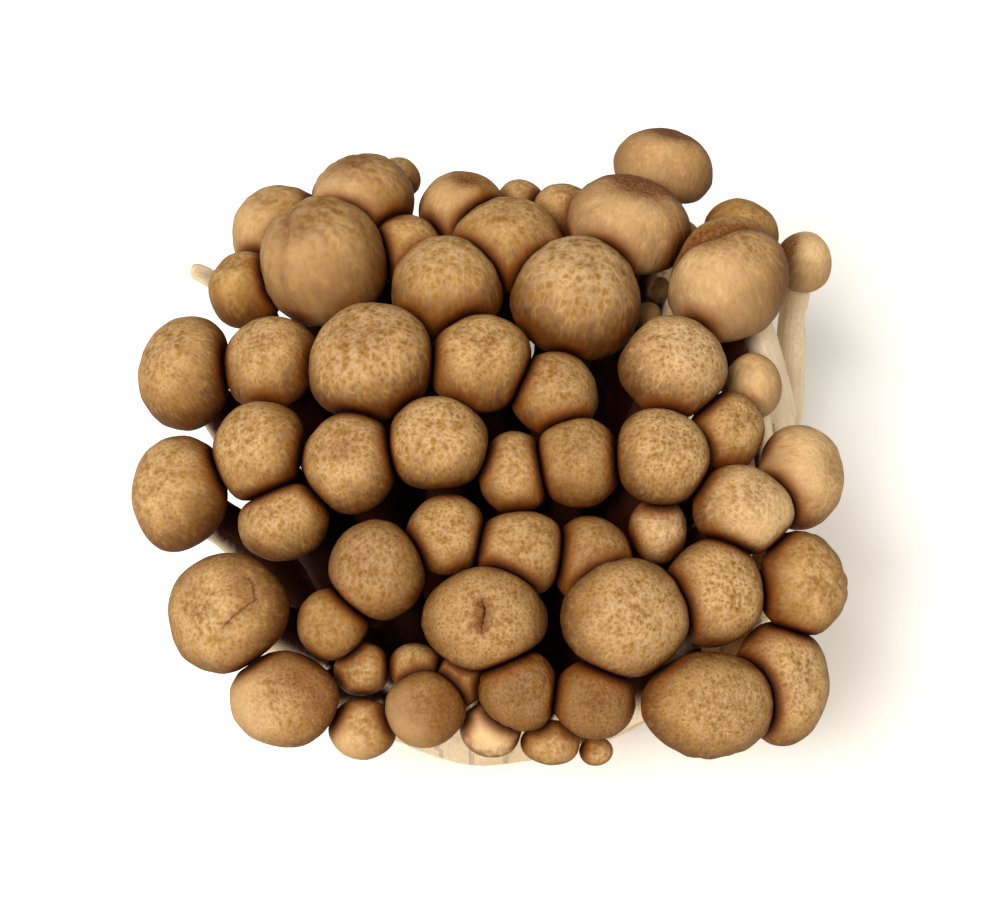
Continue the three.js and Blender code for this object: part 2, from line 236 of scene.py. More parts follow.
# What sets one cap off from the next: tone (darker above 0), strength of its specks and of its pale net,
# size of its cells, the brown stain at its middle, how far the middle is sunk, creases, and the way that
# its lit side lies, which takes painted light and on some caps is also their paler flank. A dint is its
# place across and along and its two reaches, in shares of the half width, then its turn, its depth in
# millimetres and its stain, which on some caps is painted shade. A tear is how open the skin is along its
# split, which is a line of places.
PLAIN_LOOK = {"tone": 0.0, "specks": 0.5, "net": 0.5, "cell": 0.8, "stain": 0.2, "sunk": 0.3,
              "creases": 0.0, "lit_side": None, "dints": [], "tear": 0.0, "split": None}
LOOKS = {
    "cap_front_1": {"cell": 0.85, "specks": 0.4, "net": 0.6, "tear": 0.6,
                    "dints": [(-0.28, 0.12, 0.24, 0.36, -15, 0.7, 0.35),
                              (0.5, 0.35, 0.45, 0.14, -60, 0.2, 0.6)],
                    "split": [(0.45, 0.6), (0.68, 0.42), (0.74, 0.1), (0.5, -0.12), (0.2, -0.42)]},
    "cap_front_2": {"tone": 0.2, "specks": 0.6, "cell": 0.7, "lit_side": (-0.8, -0.1), "stain": 0.2, "sunk": 0.4,
                    "dints": [(0.4, 0.45, 0.6, 0.4, -30, 0.3, 0.8), (0.75, -0.3, 0.5, 0.3, 80, 0.2, 0.7)]},
    "cap_front_3": {"tone": 0.4, "specks": 0.35, "net": 0.3, "stain": 0.3},
    "cap_front_4": {"tone": 0.3},
    "cap_front_5": {"specks": 0.4, "net": 0.35, "lit_side": (-0.6, -0.5)},
    "cap_front_6": {"tone": 0.2},
    # Its dint, at the right, is painted shade on that side.
    "cap_front_7": {"specks": 0.6, "net": 0.4, "cell": 0.7, "lit_side": (-0.5, -0.3), "stain": 0.3, "tone": 0.44,
                    "dints": [(0.75, 0.1, 1.0, 0.55, 80, 0.1, 0.75)]},
    "cap_front_8": {"specks": 0.75, "net": 0.6, "cell": 0.68, "sunk": 0.5, "tone": 0.26, "tear": 1.0,
                    "split": [(-0.06, 0.34), (0.02, 0.1), (-0.02, -0.12), (-0.04, -0.4)],
                    "dints": [(-0.02, -0.02, 0.4, 0.14, 88, 0.3, 0.5)]},
    "cap_front_9": {"tone": -0.7, "specks": 0.15, "net": 0.15, "stain": 0.0},
    "cap_front_10": {"tone": 0.58, "specks": 1.0, "net": 0.9, "cell": 0.7, "creases": 0.25},
    "cap_front_11": {"tone": 0.1, "specks": 0.4},
    "cap_front_12": {"tone": 0.6, "specks": 1.0, "net": 0.9, "cell": 0.7, "stain": 0.4},
    "cap_front_13": {"tone": 0.2},
    "cap_front_14": {"specks": 0.5, "net": 0.75, "cell": 0.8, "stain": 0.1, "tone": 0.24},
    "cap_front_15": {"specks": 0.8, "net": 0.6, "cell": 0.68, "creases": 0.15, "tone": 0.25},
    "cap_front_16": {"specks": 0.5, "net": 0.7, "cell": 0.75, "tone": 0.05},
    "cap_front_17": {"tone": 0.15, "specks": 0.3},
    "cap_right_1": {"specks": 0.8, "net": 0.6, "cell": 0.78},
    "cap_right_2": {"specks": 0.5, "net": 0.35, "creases": 0.2, "tone": 0.06},
    "cap_right_3": {"tone": -0.18, "specks": 0.8, "net": 0.8, "cell": 0.85, "lit_side": (0.4, -0.5)},
    "cap_right_4": {"tone": -0.28, "specks": 0.6, "net": 0.5, "lit_side": (-0.55, 0.2), "stain": 0.3},
    "cap_right_5": {"tone": -0.2, "specks": 0.8, "net": 0.9, "cell": 0.8},
    "cap_right_6": {"specks": 0.8, "net": 0.65, "cell": 0.8},
    "cap_right_7": {"specks": 0.8, "net": 0.95, "cell": 0.9, "tone": -0.12},
    "cap_right_8": {"specks": 0.75, "net": 0.5, "cell": 0.78, "tone": 0.03},
    "cap_right_9": {"tone": -0.3, "specks": 0.1, "net": 0.1, "stain": 0.0, "lit_side": (0.5, -0.8)},
    "cap_right_10": {"tone": -0.04, "specks": 0.35, "net": 0.6, "cell": 1.1, "stain": 0.8, "sunk": 0.6,
                     "lit_side": (0.2, -0.9), "dints": [(-0.2, 0.15, 1.0, 0.2, 42, 1.6, 1.5)]},
    # Its dint, with no depth, is painted shade on its left side.
    "cap_right_11": {"tone": -0.85, "specks": 0.15, "net": 0.1, "lit_side": (0.5, -0.7),
                     "dints": [(-0.8, -0.1, 0.42, 1.3, 0, 0.0, 1.6)]},
    "cap_back_1": {"specks": 0.25, "net": 0.15, "stain": 0.3},
    "cap_back_2": {"tone": -0.12, "specks": 0.25, "net": 0.3, "stain": 1.2, "sunk": 0.9, "lit_side": (-0.5, -0.9),
                   "dints": [(0.1, 0.35, 0.9, 0.3, -12, 0.5, 1.2)]},
    "cap_back_3": {"tone": -0.14, "specks": 0.5, "net": 0.5, "cell": 1.1, "stain": 1.2, "sunk": 0.8,
                   "lit_side": (-0.5, -0.9), "dints": [(0.15, 0.3, 0.9, 0.25, -12, 0.5, 1.2)]},
    "cap_back_4": {"specks": 0.3, "tone": -0.05},
    "cap_back_5": {"specks": 0.35, "net": 0.9, "cell": 1.3, "tone": 0.22},
    "cap_back_6": {"specks": 0.35, "net": 0.4, "cell": 1.0, "stain": 0.4},
    "cap_back_7": {"tone": -0.1, "specks": 0.2, "net": 0.1, "stain": 1.1, "sunk": 0.9, "lit_side": (-0.8, -0.4)},
    "cap_back_8": {"specks": 0.2, "tone": -0.1},
    "cap_back_9": {"specks": 0.25, "net": 0.5, "cell": 1.1, "tone": 0.22},
    "cap_back_10": {"specks": 0.3, "net": 0.3, "tone": 0.05},
    "cap_back_11": {"specks": 0.3, "net": 0.5, "cell": 1.4, "creases": 0.2, "stain": 0.8, "tone": 0.15,
                    "lit_side": (-0.6, -0.45)},
    "cap_back_12": {"specks": 0.2, "tone": -0.1},
    "cap_back_13": {"tone": 0.38, "specks": 0.2, "net": 0.5, "cell": 1.5, "creases": 0.2, "stain": 0.3,
                    "lit_side": (-0.6, -1.2),
                    "dints": [(-0.35, -0.2, 0.6, 0.1, 80, 0.5, 0.5), (-0.1, -0.3, 0.2, 0.2, 0, 0.2, 0.5)]},
    "cap_back_14": {"specks": 0.2, "net": 0.3, "cell": 1.2, "tone": 0.0, "lit_side": (-0.9, -0.4)},
    "cap_back_15": {"specks": 0.3, "net": 0.2, "tone": 0.05},
    "cap_left_1": {"specks": 0.35, "tone": 0.08},
    "cap_left_2": {"specks": 0.35, "tone": 0.1},
    "cap_left_3": {"specks": 0.7, "cell": 0.9},
    "cap_left_5": {"tone": 0.15, "specks": 0.6},
    "cap_middle_1": {"tone": 0.42, "specks": 1.0, "net": 0.7, "cell": 0.95},
    "cap_middle_2": {"tone": 0.35, "specks": 0.5},
    "cap_middle_3": {"tone": 0.45, "specks": 0.5},
    "cap_middle_4": {"tone": 0.4, "specks": 0.5},
    "cap_middle_5": {"specks": 0.8, "net": 0.7, "cell": 1.15, "stain": 0.5, "sunk": 0.6},
    "cap_middle_6": {"specks": 0.6, "cell": 0.9, "dints": [(0.2, -0.1, 0.5, 0.12, 50, 0.4, 0.3)]},
    "cap_middle_7": {"tone": 0.3},
    "cap_middle_8": {"specks": 0.4, "net": 0.6, "stain": 0.6},
    "cap_middle_9": {"specks": 0.9, "net": 0.6, "cell": 0.95},
    "cap_middle_10": {"tone": 0.2},
    "cap_middle_11": {"tone": 0.15, "specks": 0.7, "net": 0.5, "cell": 0.75},
}


def cap_profile():
    """Radius and height shares from the top down to the lip and up the hollow."""
    dome = [math.pi / 2 * i / DOME_RINGS for i in range(DOME_RINGS)]
    rim = [RIM_TURN * i / RIM_RINGS for i in range(RIM_RINGS + 1)]
    skin = [(math.sin(a), math.cos(a)) for a in dome]
    skin += [(RIM_CORE + (1 - RIM_CORE) * math.cos(b), -math.sin(b)) for b in rim]
    return skin + HOLLOW


def spun(profile, steps):
    """A turned form, and the index of its vertex on each ring and at each step."""
    form = bmesh.new()
    ring_of = form.verts.layers.int.new("ring")
    for ring, (radius, height) in enumerate(profile):
        form.verts.new((radius, 0, height))[ring_of] = ring
    form.verts.ensure_lookup_table()
    for ring in range(1, len(profile)):
        form.edges.new((form.verts[ring - 1], form.verts[ring]))
    bmesh.ops.spin(form, geom=form.verts[:] + form.edges[:], axis=(0, 0, 1), angle=math.tau,
                   steps=steps, use_merge=True)
    bmesh.ops.remove_doubles(form, verts=form.verts, dist=SAME_PLACE)
    bmesh.ops.recalc_face_normals(form, faces=form.faces)
    form.verts.index_update()
    where = np.zeros((len(profile), steps), int)
    for vert in form.verts:
        if math.hypot(vert.co.x, vert.co.y) < SAME_PLACE:
            where[vert[ring_of], :] = vert.index
        else:
            step = round(math.atan2(vert.co.y, vert.co.x) / math.tau * steps) % steps
            where[vert[ring_of], step] = vert.index
    return form, where


def set_places(form, where, points):
    """Moves a turned form's vertices to points given in millimetres on its rings and steps."""
    form.verts.ensure_lookup_table()
    for ring, row in zip(where, points):
        for index, point in zip(ring, row):
            form.verts[index].co = point * MM


def rolling(points, wave, shift):
    """Smooth noise at each point, with bumps about a wave long."""
    scaled = points.reshape(-1, 3) / wave + shift
    return np.array([noise.noise(point) for point in scaled]).reshape(points.shape[:-1])


def line_place(u, v, line):
    """Signed distance to a line of points, and how near its middle that is, from 0 at an end to 1."""
    points = np.array(line)
    lengths = np.linalg.norm(np.diff(points, axis=0), axis=1)
    nearest = np.full(u.shape, FAR_AWAY)
    signed = np.full(u.shape, FAR_AWAY)
    run = np.zeros(u.shape)
    for i, (start, end) in enumerate(zip(points[:-1], points[1:])):
        way = (end - start) / lengths[i]
        ahead = np.clip((u - start[0]) * way[0] + (v - start[1]) * way[1], 0, lengths[i])
        du = u - start[0] - ahead * way[0]
        dv = v - start[1] - ahead * way[1]
        distance = np.hypot(du, dv)
        closer = distance < nearest
        side = np.where(du * way[1] - dv * way[0] < 0, -1, 1)
        signed = np.where(closer, distance * side, signed)
        run = np.where(closer, (lengths[:i].sum() + ahead) / lengths.sum(), run)
        nearest = np.minimum(nearest, distance)
    return signed, np.clip(4 * run * (1 - run), 0, 1)


def grown_form(cap, look, draw):
    """The cap before it meets its neighbours: ring by step points in its own frame, and its markings.

    Places on it, u across and v along, are shares of its half width and half length.
    """
    steps = max(LEAST_STEPS, 4 * round(math.tau * cap.radius / CELL_OF_MESH / 4))
    form, where = spun(cap_profile(), steps)
    radius, height = np.array(cap_profile()).T[:, :, None]
    turn = np.linspace(0, math.tau, steps, endpoint=False)[None, :]
    lobes = 1 + sum(draw.uniform(LEAST_LOBE, 1) * share * np.cos(count * turn + draw.uniform(0, math.tau))
                    for count, share in RIM_LOBES)
    u = radius * lobes * np.cos(turn)
    v = radius * lobes * np.sin(turn)
    rise = height * np.where(height > 0, cap.dome, cap.rim) * np.ones_like(turn)
    on_top = np.clip(height, 0, 1)
    out = np.stack((u / cap.half[0], v / cap.half[1], rise / cap.dome**2), axis=-1)
    out /= np.linalg.norm(out, axis=-1, keepdims=True) + TINY
    points = np.stack((u * cap.half[0], v * cap.half[1], rise), axis=-1)

    shift = np.array([draw.uniform(0, NOISE_FIELD) for _ in range(3)])
    relief = min(1, cap.radius / FULL_RELIEF_RADIUS)
    push = relief * LONG_WAVE_DEPTH * rolling(points, LONG_WAVE, shift)
    push += relief * SHORT_WAVE_DEPTH * rolling(points, SHORT_WAVE, shift)
    if look["creases"]:
        crease = 1 - np.abs(rolling(points, CREASE_WAVE, shift)) * CREASE_SHARPNESS
        push -= look["creases"] * crease.clip(0)
    stain = look["stain"] * np.exp(-((u / STAIN_REACH[0]) ** 2 + (v / STAIN_REACH[1]) ** 2)) * on_top
    push -= relief * look["sunk"] * np.exp(-(u**2 + v**2) / SUNK_SPREAD) * on_top
    for du, dv, long, short, angle, depth, brown in look["dints"]:
        turned = math.radians(angle)
        lengthwise = ((u - du) * math.cos(turned) + (v - dv) * math.sin(turned)) / long
        crosswise = ((v - dv) * math.cos(turned) - (u - du) * math.sin(turned)) / short
        dint = np.exp(-(lengthwise**2 + crosswise**2)) * on_top**DINT_FADE
        push -= depth * dint
        # A dint's brown is a stain on most caps and painted shade on some.
        stain = stain + brown * dint
    beside = np.full(u.shape, FAR_AWAY)
    torn = np.zeros(u.shape)
    if look["split"]:
        signed, inward = line_place(u, v, look["split"])
        beside = signed * cap.radius
        torn = look["tear"] * np.clip(inward * SPLIT_TAPER, 0, 1)
        push -= SPLIT_VALLEY * torn * np.exp(-((beside / SPLIT_WIDTH) ** 2)) * (height > 0)
    skin = (np.arange(len(radius)) <= LIP_RING)[:, None]
    points += out * (push * skin)[..., None]

    sides = np.diff(np.stack((radius[:, 0] * cap.radius, rise[:, 0]), axis=1), axis=0)
    down = np.concatenate(([0], np.cumsum(np.linalg.norm(sides, axis=1))))[:, None]
    spread = (down * MARKS_BY_ARC + radius * cap.radius * (1 - MARKS_BY_ARC)) / look["cell"]
    marks = {
        "skin_place": (spread * np.cos(turn) * cap.half[0] / cap.radius + shift[0],
                       spread * np.sin(turn) * cap.half[1] / cap.radius + shift[1], shift[2]),
        "skin_kind": (look["tone"] + draw.uniform(-TONE_SPREAD, TONE_SPREAD), look["specks"], look["net"]),
        "skin_split": (beside, torn, lit_side_paint(look["lit_side"], u, v)),
    }
    state = {"rimward": down / down[LIP_RING], "stain": np.clip(stain, 0, 1)}
    return form, where, points, marks, state


def lit_side_paint(way, u, v):
    """Painted light, and on some caps their paler flank: 1 on the side of the cap that lies that way, fading
    to 0 past its middle.
    """
    if way is None:
        return np.zeros(u.shape)
    towards = (u * way[0] + v * way[1]) / math.hypot(*way) ** 2
    return np.clip(PALE_LEAST + (1 - PALE_LEAST) * towards, 0, 1)


def flattened(points, cap, planes):
    """Draws points towards the middle of the cap, so that they stay on their side of every plane."""
    arms = points - cap.middle
    pressure = np.ones(arms.shape[:-1])
    for way, distance in planes:
        pressure += np.clip(arms @ way / distance, 0, None) ** PRESS_SHARPNESS
    return cap.middle + arms * (pressure ** (-1 / PRESS_SHARPNESS))[..., None]


def contact_planes(cap, lower):
    """The planes, each a direction and a distance, where the cap flattens on lower ones it overlaps."""
    planes = []
    for other in lower:
        apart = np.linalg.norm(other.middle - cap.middle)
        way = (other.middle - cap.middle) / apart
        own = cap.reach(way)
        overlap = own + other.reach(-way) + CONTACT_GAP - apart
        if overlap > 0:
            share = np.clip(0.5 - (cap.lift - other.lift) * YIELD_PER_LIFT, LEAST_YIELD, 1)
            planes.append((way, own - overlap * share))
    return planes


def outer_skin(points):
    """A search tree of a cap's skin, closed across its lip."""
    rings, steps = LIP_RING + 1, points.shape[1]
    faces = [
        (i * steps + j, (i + 1) * steps + j, (i + 1) * steps + (j + 1) % steps, i * steps + (j + 1) % steps)
        for i in range(rings - 1)
        for j in range(steps)
    ]
    faces.append([(rings - 1) * steps + j for j in reversed(range(steps))])
    return BVHTree.FromPolygons(points[:rings].reshape(-1, 3).tolist(), faces)


def pushed_out(points, others):
    """Moves the points that lie in another cap, or too near it, just out of its skin."""
    moved = points.copy()
    for other in others:
        near = np.linalg.norm(moved - other.middle, axis=-1) < other.far_reach
        for index in np.argwhere(near):
            index = tuple(index)
            touch, out, _, _ = other.tree.find_nearest(moved[index].tolist())
            depth = (moved[index] - touch) @ np.array(out)
            if depth < SKIN_GAP:
                moved[index] = np.array(touch) + np.array(out) * SKIN_GAP
    return moved


def softened(shift):
    """A field of shifts on rings and steps, averaged with its neighbours."""
    beside = (np.roll(shift, 1, axis=1) + np.roll(shift, -1, axis=1)) / 2
    padded = np.concatenate((shift[:1], shift, shift[-1:]))
    above_and_below = (padded[:-2] + padded[2:]) / 2
    return shift * OWN_SHIFT + beside * SHIFT_BESIDE + above_and_below * SHIFT_BESIDE


def dented(points, cap, prouder):
    """The lower cap takes the form of every prouder one that it meets, and its hollow follows its lip."""
    beside = [other for other in prouder
              if np.linalg.norm(other.middle - cap.middle) < other.far_reach + cap.radius * DENT_REACH]
    skin = points[: LIP_RING + 1]
    shift = np.zeros_like(skin)
    for _ in range(DENT_ROUNDS):
        shift = softened(pushed_out(skin + shift, beside) - skin)
    shift = pushed_out(skin + shift, beside) - skin
    shift[0] = shift[0].mean(axis=0)
    shape = points.copy()
    shape[: LIP_RING + 1] += shift
    cap.lip_shift = shift[-1]
    follow = np.linspace(1, 0, len(points) - LIP_RING)[1:, None, None]
    shape[LIP_RING + 1 :] += cap.lip_shift * follow
    return shape


random_draw = random.Random(11)
grown = []
for cap in by_pride:
    look = {**PLAIN_LOOK, **LOOKS.get(cap.name, {})}
    cap.form, cap.where, local, cap.marks, cap.state = grown_form(cap, look, random_draw)
    cap.planes = contact_planes(cap, [other for other in by_pride if other not in grown and other is not cap])
    cap.points = dented(flattened(cap.placed(local), cap, cap.planes), cap, grown)
    cap.far_reach = np.linalg.norm(cap.points - cap.middle, axis=-1).max() + SKIN_GAP
    cap.tree = outer_skin(cap.points)
    grown.append(cap)


# Cap skin. A matte hazel-brown skin over pale flesh, with a soft mosaic of dark specks in a paler net. It
# browns towards the rim, partly with painted shade, is paler with painted light on its lit side, and takes
# a red-brown painted shade where caps press together.
PALE_NET = "D4B48A"
HAZEL_LIGHT = "AA8247"
HAZEL = "8C6427"
SPECK_BROWN = "5E3D14"
DUSK_BROWN = "67421A"
STAIN_AND_SHADE_BROWN = "66340F"
RIM_GOLD = "A06E28"
RIM_BROWN_AND_SHADE = "502603"
SEAM_SHADE_BROWN = "743A09"
TOUCH_SHADE_BROWN = "240903"
CREAM = "DDBB8C"
HOLLOW_FLESH = "DCC49C"
SPLIT_BROWN_AND_SHADE = "3A1607"
SCATTER_RADIUS = (1, 0.5, 0.3)
SCATTER_SCALE = MM
BEND_SCALE = 1.1
BEND_REACH = 0.8
BLOTCH_SCALE = 0.3
PATCH_SCALE = 0.9
MOTTLE_SCALE = 2.0
GRAIN_SCALE = 4500.0
SKIN_ROUGHNESS = 0.66
SKIN_ROUGHNESS_CHANGE = 0.16
SKIN_RELIEF = 0.00018


class Wire:
    """A node's output that takes part in arithmetic: each operator adds its Math node."""

    def __init__(self, finish, socket):
        self.finish = finish
        self.socket = socket

    def math(self, operation, first, second=0.0):
        return self.finish.node("Math", {"operation": operation}, {0: first, 1: second})

    def __add__(self, other):
        return self.math("ADD", self, other)

    def __mul__(self, other):
        return self.math("MULTIPLY", self, other)

    def __sub__(self, other):
        return self.math("SUBTRACT", self, other)

    def __rsub__(self, other):
        return self.math("SUBTRACT", other, self)

    def __abs__(self):
        return self.math("ABSOLUTE", self)

    __radd__ = __add__
    __rmul__ = __mul__


SOLID_NOISE = {"noise_dimensions": "3D"}
FLAT_NOISE = {"noise_dimensions": "2D"}


class Finish:
    """A material, and the one method that adds a node to it with its settings and its sockets."""

    def __init__(self, name, roughness, specular, subsurface=0.0):
        self.material = bpy.data.materials.new(name)
        self.material.use_nodes = True
        self.tree = self.material.node_tree
        self.shader = self.tree.nodes["Principled BSDF"]
        self.shader.inputs["Roughness"].default_value = roughness
        self.shader.inputs["Specular IOR Level"].default_value = specular
        self.shader.inputs["Subsurface Weight"].default_value = subsurface
        self.shader.inputs["Subsurface Radius"].default_value = SCATTER_RADIUS
        self.shader.inputs["Subsurface Scale"].default_value = SCATTER_SCALE

    def node(self, kind, settings, sockets, out=0):
        node = self.tree.nodes.new(f"ShaderNode{kind}")
        for name, value in settings.items():
            setattr(node, name, value)
        for name, value in sockets.items():
            self.feed(node.inputs[name], value)
        return Wire(self, node.outputs[out])

    def feed(self, target, value):
        if isinstance(value, Wire):
            self.tree.links.new(value.socket, target)
        else:
            target.default_value = value

    def marks(self, name):
        """An attribute of three numbers, whole and then one by one."""
        whole = self.node("Attribute", {"attribute_name": name}, {}, out=1)
        parts = [self.node("SeparateXYZ", {}, {0: whole}, out=i) for i in range(3)]
        return whole, *parts

    def step(self, value, low, high):
        """0 below low and 1 above high, rising smoothly between."""
        sockets = {"Value": value, "From Min": low, "From Max": high}
        return self.node("MapRange", {"interpolation_type": "SMOOTHSTEP"}, sockets)

    def cloud(self, place, scale, detail=2.0, settings=SOLID_NOISE):
        return self.node("TexNoise", settings, {"Vector": place, "Scale": scale, "Detail": detail})

    def cells(self, feature, place, out=0):
        settings = {"feature": feature, "voronoi_dimensions": "2D"}
        return self.node("TexVoronoi", settings, {"Vector": place, "Scale": 1.0}, out)

    def layered(self, base, layers):
        """The base colour under layers, each of them the share that it covers and its own colour."""
        for share, colour in layers:
            sockets = {0: share, 6: base, 7: paint(colour)}
            base = self.node("Mix", {"data_type": "RGBA"}, sockets, out=2)
        return base

    def colour(self, value):
        self.feed(self.shader.inputs["Base Color"], value)

    def rough(self, value):
        self.feed(self.shader.inputs["Roughness"], value)

    def relief(self, height, distance):
        bump = self.node("Bump", {}, {"Height": height, "Distance": distance, "Strength": 1.0})
        self.feed(self.shader.inputs["Normal"], bump)


def paint(code):
    """A colour from its six hexadecimal digits, in the linear values that a shader takes."""
    parts = [int(code[i : i + 2], 16) / 255 for i in (0, 2, 4)]
    return (*[p / 12.92 if p <= 0.04045 else ((p + 0.055) / 1.055) ** 2.4 for p in parts], 1.0)


def cap_skin():
    skin = Finish("cap_skin", roughness=0.6, specular=0.08)
    place = skin.marks("skin_place")[0]
    _, tone, specks, net = skin.marks("skin_kind")
    _, rimward, touch, stain = skin.marks("skin_state")
    _, beside, torn, lit_side = skin.marks("skin_split")

    solid = skin.node("TexCoord", {}, {}, out=3)
    blotch = skin.cloud(place, BLOTCH_SCALE, 2.0, FLAT_NOISE)
    patch = skin.cloud(place, PATCH_SCALE, 1.0, FLAT_NOISE)
    mottle = skin.cloud(place, MOTTLE_SCALE, 2.0, FLAT_NOISE)
    grain = skin.cloud(solid, GRAIN_SCALE, 2.0)
    wander = skin.node("TexNoise", FLAT_NOISE, {"Vector": place, "Scale": BEND_SCALE, "Detail": 1.0}, out=1)
    wander = skin.node("VectorMath", {"operation": "SCALE"}, {0: wander, "Scale": BEND_REACH})
    bent = skin.node("VectorMath", {"operation": "ADD"}, {0: place, 1: wander})
    heart = skin.cells("F1", bent)
    chance = skin.cells("F1", bent, out=1)
    edge = skin.cells("DISTANCE_TO_EDGE", bent)

    # A step has the value where it starts and the one where it is full, and a cloud wavers round a half.
    dot = (1 - skin.step(heart + (grain - 0.5) * 0.25, 0.04, 0.3)) * skin.step(chance, 0.3, 0.7)
    vein = 1 - skin.step(edge + (mottle - 0.5) * 0.3, -0.06, 0.34)
    golden = skin.step(blotch + (mottle - 0.5) * 0.3, 0.3, 0.7)
    milky = skin.step(patch + (grain - 0.5) * 0.25, 0.32, 0.78)
    freckled = skin.step(mottle + (grain - 0.5) * 0.4, 0.42, 0.85)
    outward = rimward + (patch - 0.5) * 0.36
    gash = abs(beside + (mottle - 0.5) * 0.6)

    skin.colour(skin.layered(paint(HAZEL), [
        (golden, HAZEL_LIGHT),
        (milky * (net * 0.6 + 0.25), PALE_NET),
        (vein * net * (golden * 0.5 + 0.35), PALE_NET),
        (dot * specks * 0.5, SPECK_BROWN),
        (freckled * (specks * 0.35 + 0.1), SPECK_BROWN),
        # Painted light on the lit side, and on some caps their paler flank by the stem.
        (lit_side * (0.35 + mottle * 0.5), CREAM),
        (skin.step(tone, 0.0, 1.0), DUSK_BROWN),
        (skin.step(tone * -1.0, 0.0, 1.0), CREAM),
        # Browner towards the rim: partly the skin's own colour, partly painted shade at its edge.
        (skin.step(outward, 0.15, 0.6) * 0.32, RIM_GOLD),
        (skin.step(outward, 0.25, 0.76) * (0.9 - lit_side * 0.5), RIM_BROWN_AND_SHADE),
        (stain * (0.5 + mottle * 0.7), STAIN_AND_SHADE_BROWN),
        # Painted shade, red-brown to near black, where the cap meets another.
        (skin.step(touch, 0.05, 0.7) * 0.85, SEAM_SHADE_BROWN),
        (skin.step(touch, 0.38, 0.92), TOUCH_SHADE_BROWN),
        # The split's brown flanks and dark line: partly torn skin, partly painted shade in the crack.
        ((1 - skin.step(gash, 0.1, 1.4)) * torn * 0.5, STAIN_AND_SHADE_BROWN),
        ((1 - skin.step(gash, 0.03, 0.26)) * torn, SPLIT_BROWN_AND_SHADE),
        (skin.step(rimward, 1.01, 1.05), HOLLOW_FLESH),
    ]))
    skin.rough(SKIN_ROUGHNESS + (grain - 0.5) * SKIN_ROUGHNESS_CHANGE)
    skin.relief(patch * 0.8 + mottle * 0.4 + grain * 0.3 - dot * specks * 0.3, SKIN_RELIEF)
    return skin.material


def write_marks(mesh, name, where, *parts):
    """Stores three numbers for each vertex, given on rings and steps."""
    values = np.zeros((len(mesh.vertices), 3), np.float32)
    for axis, part in enumerate(parts):
        values[where, axis] = part
    mesh.attributes.new(name, "FLOAT_VECTOR", "POINT").data.foreach_set("vector", values.ravel())


def touching(cap):
    """1 where the skin meets another cap, falling to 0 at the touch reach from it."""
    least = np.full(cap.points.shape[:-1], TOUCH_REACH)
    for other in mushrooms:
        if other is cap:
            continue
        near = np.linalg.norm(cap.points - other.middle, axis=-1) < other.far_reach + TOUCH_REACH
        for index in np.argwhere(near):
            index = tuple(index)
            found = other.tree.find_nearest(cap.points[index].tolist(), TOUCH_REACH)
            if found[0] is not None:
                least[index] = min(least[index], found[3])
    return (1 - least / TOUCH_REACH) ** TOUCH_FADE


def finished(name, mesh, material):
    """An object of the mesh that rides with the cluster."""
    mesh.shade_smooth()
    mesh.materials.append(material)
    piece = bpy.data.objects.new(name, mesh)
    bpy.context.scene.collection.objects.link(piece)
    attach(piece, "root")
    return piece


skin_material = cap_skin()
for cap in mushrooms:
    set_places(cap.form, cap.where, cap.points)
    mesh = bpy.data.meshes.new(cap.name)
    cap.form.to_mesh(mesh)
    cap.form.free()
    for name, values in cap.marks.items():
        write_marks(mesh, name, cap.where, *values)
    write_marks(mesh, "skin_state", cap.where, cap.state["rimward"], touching(cap), cap.state["stain"])
    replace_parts(finished(f"{cap.name}_skin", mesh, skin_material), cap.name)


# Gills. Thin cream blades that hang in the hollow from stem to lip, every other one stopping short of
# the stem, with painted shade in the folds between them. All those of one side of the cluster are one piece.
GILL_ROOF = 0.16
GILL_GAP = 0.4
GILL_RINGS = 7
GILL_OUTER = 0.61
GILL_LOW = 0.78
GILL_LIP = 0.6
GILL_SPACING = 0.95
GILL_HUB = 0.8
GILL_ROOF_REACH = 0.9
GILL_ROOF_GAP = 0.25
GILL_THINNING = 0.2
SHORT_GILL_END = 0.2
LIP_SHIFT_SHARE = 0.8
STEM_SHARE = 0.3
STEM_LEAST = 0.75
STEM_MOST = 0.42
GILL_CREAM = "E9D6B2"
GILL_SHADE = "D6BC90"
GILL_FOLD_SHADE = "B08E62"
GILL_MOTTLE_SCALE = 900.0
GILL_RELIEF = 0.00005


def pour(form, body):
    """Adds a form to a body of several, and frees it."""
    poured = bpy.data.meshes.new("poured")
    form.to_mesh(poured)
    form.free()
    body.from_mesh(poured)
    bpy.data.meshes.remove(poured)


def stem_radius(cap):
    return cap.stout * min(STEM_SHARE * cap.radius + STEM_LEAST, STEM_MOST * cap.radius)


